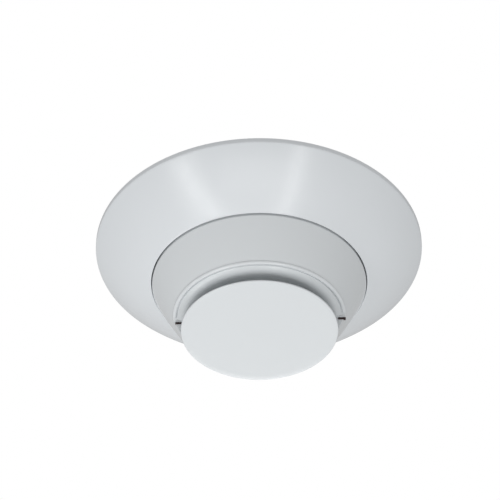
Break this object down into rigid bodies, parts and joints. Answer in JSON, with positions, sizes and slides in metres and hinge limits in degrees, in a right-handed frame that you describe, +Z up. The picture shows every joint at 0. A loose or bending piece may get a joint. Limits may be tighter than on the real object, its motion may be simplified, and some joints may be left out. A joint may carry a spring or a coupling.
{
  "type": "heat detector",
  "caption": "Low-profile ceiling heat detector: a flared round base with a twist-lock head, a recessed air inlet and a thin round disc in front.",
  "frame": {"origin": "centre of the ceiling face, on the ceiling plane", "axes": "+Z up into the ceiling, the detector hangs down along -Z; -Y towards the middle of the front air inlet"},
  "size_m": [0.155, 0.155, 0.0503],
  "materials": {
    "base_plastic": "satin moulded white",
    "cover_plastic": "satin moulded white",
    "chassis_plastic": "matte moulded grey",
    "contact_metal": "bright spring strip",
    "screw_steel": "zinc plated",
    "can_aluminium": "satin",
    "board_laminate": "green solder mask",
    "dark_plastic": "satin black",
    "dial_plastic": "satin orange",
    "component_glass": "glass coat",
    "smoked_lens": "dark smoked"
  },
  "bodies": {
    "base": {"mounting_base": "base_plastic", "terminal_contact_1": "contact_metal", "terminal_contact_2": "contact_metal", "terminal_contact_3": "contact_metal", "terminal_contact_4": "contact_metal", "terminal_clamp_1": "screw_steel", "terminal_clamp_2": "screw_steel", "terminal_clamp_3": "screw_steel", "terminal_clamp_4": "screw_steel", "terminal_screw_1": "screw_steel", "terminal_screw_2": "screw_steel", "terminal_screw_3": "screw_steel", "terminal_screw_4": "screw_steel"},
    "head": {"head_chassis": "chassis_plastic", "contact_blade_1": "contact_metal", "contact_blade_2": "contact_metal", "contact_blade_3": "contact_metal", "contact_blade_4": "contact_metal", "circuit_board": "board_laminate", "board_screw_1": "screw_steel", "board_screw_2": "screw_steel", "board_screw_3": "screw_steel", "microcontroller": "dark_plastic", "capacitor": "can_aluminium", "reed_switch": "component_glass", "address_switch_tens": "dark_plastic", "address_switch_ones": "dark_plastic", "thermistor": "component_glass", "thermistor_post": "dark_plastic", "led_left": "smoked_lens", "led_right": "smoked_lens"},
    "cover": {"head_cover": "cover_plastic", "vent_cage": "cover_plastic", "front_cap": "cover_plastic", "light_guide_left": "smoked_lens", "light_guide_right": "smoked_lens"},
    "tamper_lever": {"tamper_lever": "base_plastic"},
    "dial_tens": {"address_dial_tens": "dial_plastic"},
    "dial_ones": {"address_dial_ones": "dial_plastic"}
  },
  "joints": [
    {"name": "head_twist", "type": "hinge", "parent": "base", "child": "head", "pos_m": [0, 0, -0.016], "axis": [0, 0, -1], "range_deg": [0, 20]},
    {"name": "cover_pull", "type": "slide", "parent": "head", "child": "cover", "axis": [0, 0, -1], "range_m": [0, 0.03]},
    {"name": "tamper_lever_press", "type": "hinge", "parent": "base", "child": "tamper_lever", "pos_m": [-0.04209, 0.0243, -0.0056], "axis": [-0.866, 0.5, 0], "range_deg": [0, 6], "stiffness_Nm_per_rad": 0.02},
    {"name": "address_dial_tens_turn", "type": "hinge", "parent": "head", "child": "dial_tens", "pos_m": [-0.008, 0.015, -0.0139], "axis": [0, 0, 1], "continuous": true},
    {"name": "address_dial_ones_turn", "type": "hinge", "parent": "head", "child": "dial_ones", "pos_m": [0.008, 0.015, -0.0139], "axis": [0, 0, 1], "continuous": true}
  ]
}
